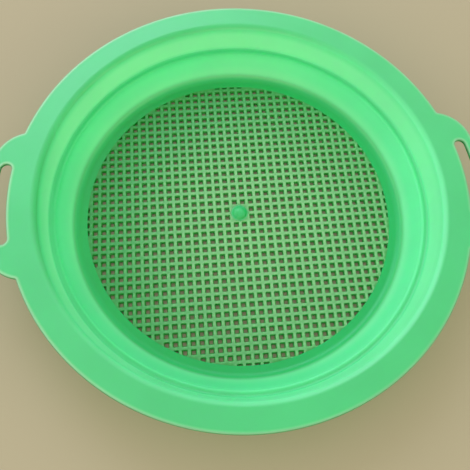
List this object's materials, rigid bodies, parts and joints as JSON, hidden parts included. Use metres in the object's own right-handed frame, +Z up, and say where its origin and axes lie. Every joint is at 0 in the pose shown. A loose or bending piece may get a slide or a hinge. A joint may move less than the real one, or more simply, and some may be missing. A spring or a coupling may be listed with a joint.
{
  "type": "sand sieve",
  "caption": "Round shallow sand sieve with a stepped sloping wall, flat rim, loop handle on each side and a square mesh floor with a domed centre boss.",
  "frame": {"origin": "centre of the underside, on the surface the sieve stands on", "axes": "+X through the two handles, +Y across them, +Z up out of the bowl"},
  "size_m": [0.2248, 0.2064, 0.0285],
  "materials": {
    "green_plastic": "satin, translucent bright green polypropylene",
    "mesh_plastic": "satin, translucent bright green polypropylene, thinner and paler than the wall"
  },
  "bodies": {
    "root": {"rim_flange": "green_plastic", "left_handle": "green_plastic", "right_handle": "green_plastic", "upper_wall": "green_plastic", "step_ledge": "green_plastic", "lower_wall": "green_plastic", "floor_ring": "green_plastic", "mesh_upper_bars": "mesh_plastic", "mesh_lower_bars": "mesh_plastic", "centre_pad": "mesh_plastic", "centre_boss": "green_plastic"}
  },
  "joints": []
}
